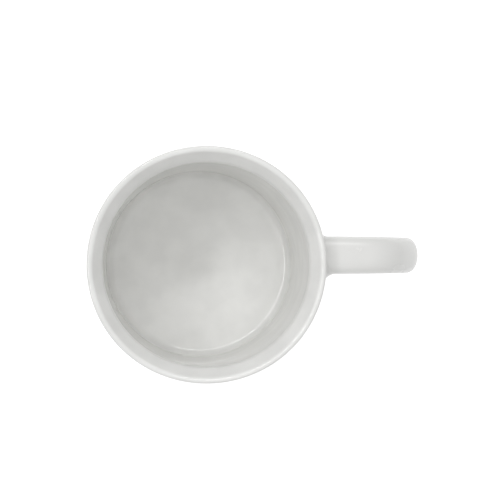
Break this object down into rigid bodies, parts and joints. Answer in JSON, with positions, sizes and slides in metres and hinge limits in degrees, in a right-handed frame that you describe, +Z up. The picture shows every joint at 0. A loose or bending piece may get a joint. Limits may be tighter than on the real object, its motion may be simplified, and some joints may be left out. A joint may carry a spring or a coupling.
{
  "type": "ceramic mug",
  "caption": "Plain white glazed porcelain mug, a straight round cup with a rounded lip, a foot ring and a rounded strap handle, for hot and cold drinks.",
  "frame": {"origin": "on the surface the mug stands on, in the middle of the box round the cup and its handle; the cup's own axis is 18.5 mm from it along -X", "axes": "+Z up along the cup's axis towards the rim, +X out along the handle, +Y to the left of the handle seen from the cup"},
  "size_m": [0.122, 0.085, 0.092],
  "materials": {
    "glazed_porcelain": "clear gloss glaze over white porcelain, bare and matt on the foot ring",
    "glazed_slip": "clear gloss glaze over white slip"
  },
  "bodies": {
    "root": {"mug_body": "glazed_porcelain", "handle": "glazed_porcelain", "upper_slip_joint": "glazed_slip", "lower_slip_joint": "glazed_slip"}
  },
  "joints": []
}
